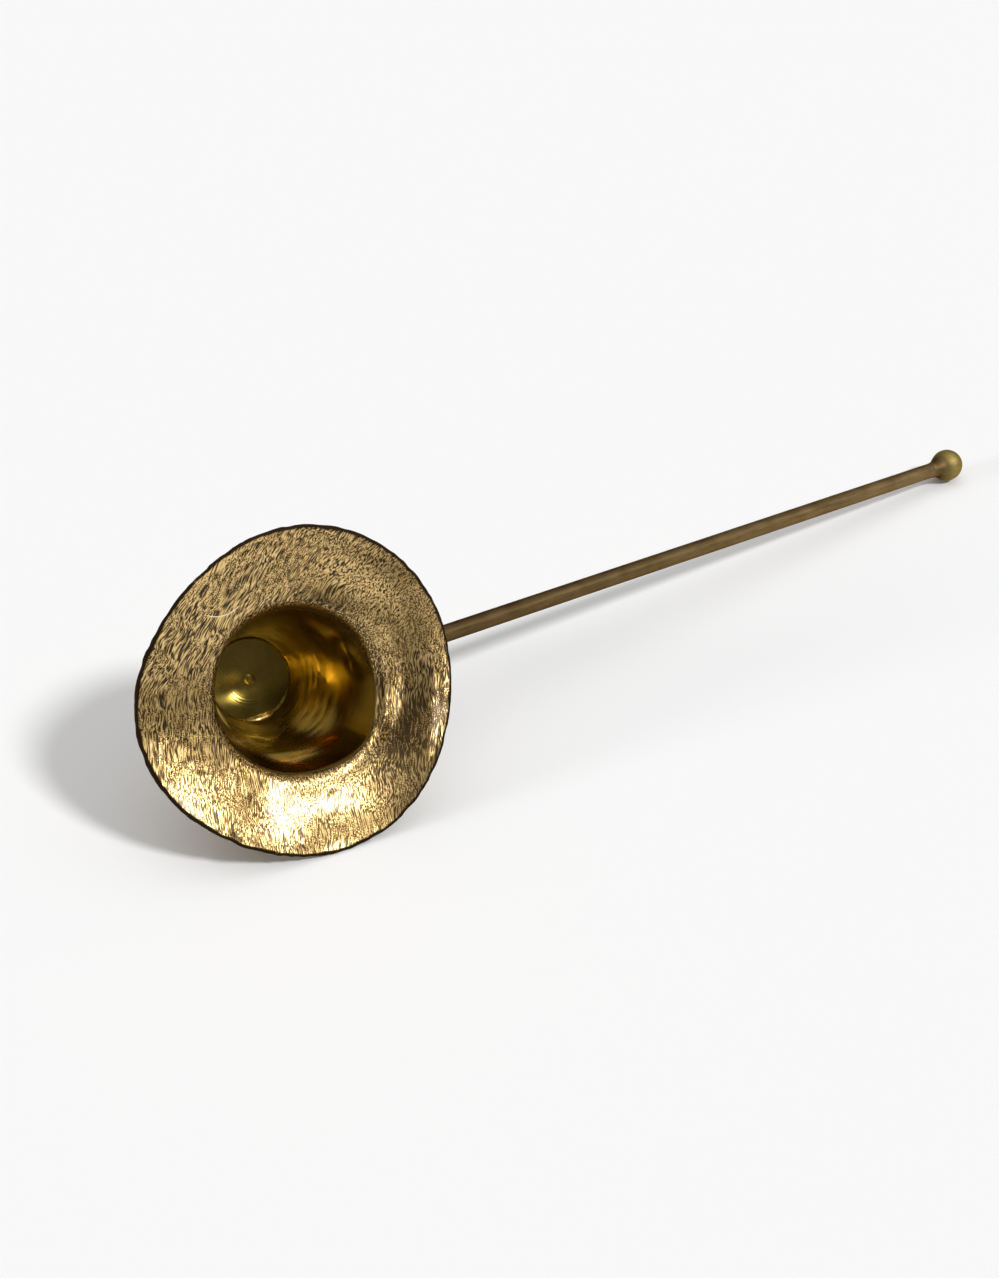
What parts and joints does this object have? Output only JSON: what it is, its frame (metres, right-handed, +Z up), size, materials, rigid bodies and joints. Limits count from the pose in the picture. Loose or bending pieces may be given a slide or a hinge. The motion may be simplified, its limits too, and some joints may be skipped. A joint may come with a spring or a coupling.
{
  "type": "candle snuffer",
  "caption": "Hand-formed brass candle snuffer: a conical bell with a wavy flared brim and brazed-in crown, riveted to a straight rod handle that ends in a ball.",
  "frame": {"origin": "on the table under the middle of the lying snuffer's box", "axes": "+Z up from the table; +X along the handle in plan, towards the ball; the bell's mouth faces about -Y and upwards"},
  "size_m": [0.2532, 0.0608, 0.0604],
  "materials": {
    "brushed_brass": "aged brass with dark brush strokes and a browned rim",
    "turned_brass": "lathe-turned and polished, slightly green",
    "satin_brass": "satin drawn brass, dulled by age",
    "braze": "bright flowed braze"
  },
  "bodies": {
    "root": {"bell": "brushed_brass", "crown_disc": "turned_brass", "crown_braze_bead": "braze", "handle_rod": "satin_brass", "handle_root_braze": "braze", "ball_finial": "satin_brass", "finial_neck_braze": "satin_brass"}
  },
  "joints": []
}
